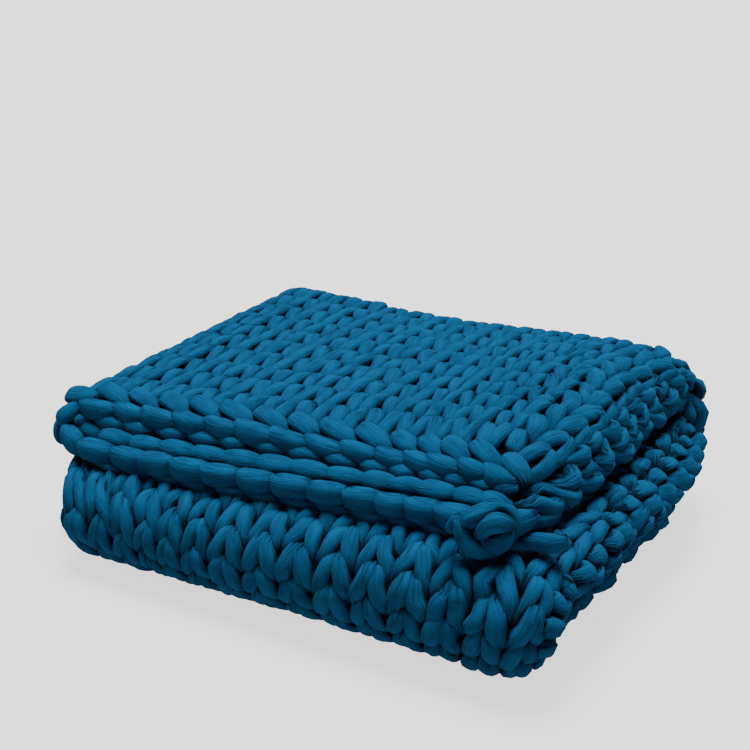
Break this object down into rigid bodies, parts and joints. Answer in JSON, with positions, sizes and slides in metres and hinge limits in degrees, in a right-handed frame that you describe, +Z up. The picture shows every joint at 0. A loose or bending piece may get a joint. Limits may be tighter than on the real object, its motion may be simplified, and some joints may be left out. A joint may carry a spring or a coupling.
{
  "type": "weighted blanket",
  "caption": "Chunky hand-knit weighted blanket of thick stuffed jersey yarn, folded into a low three-layer heap with rounded folds.",
  "frame": {"origin": "on the surface it lies on, under the middle of its bounding box", "axes": "+X from the left fold to the long edges, +Y from the front fold to the back fold, +Z up"},
  "size_m": [0.6568, 0.6068, 0.2074],
  "materials": {
    "blue_cotton": "matte"
  },
  "bodies": {
    "root": {"knit_blanket": "blue_cotton"}
  },
  "joints": []
}
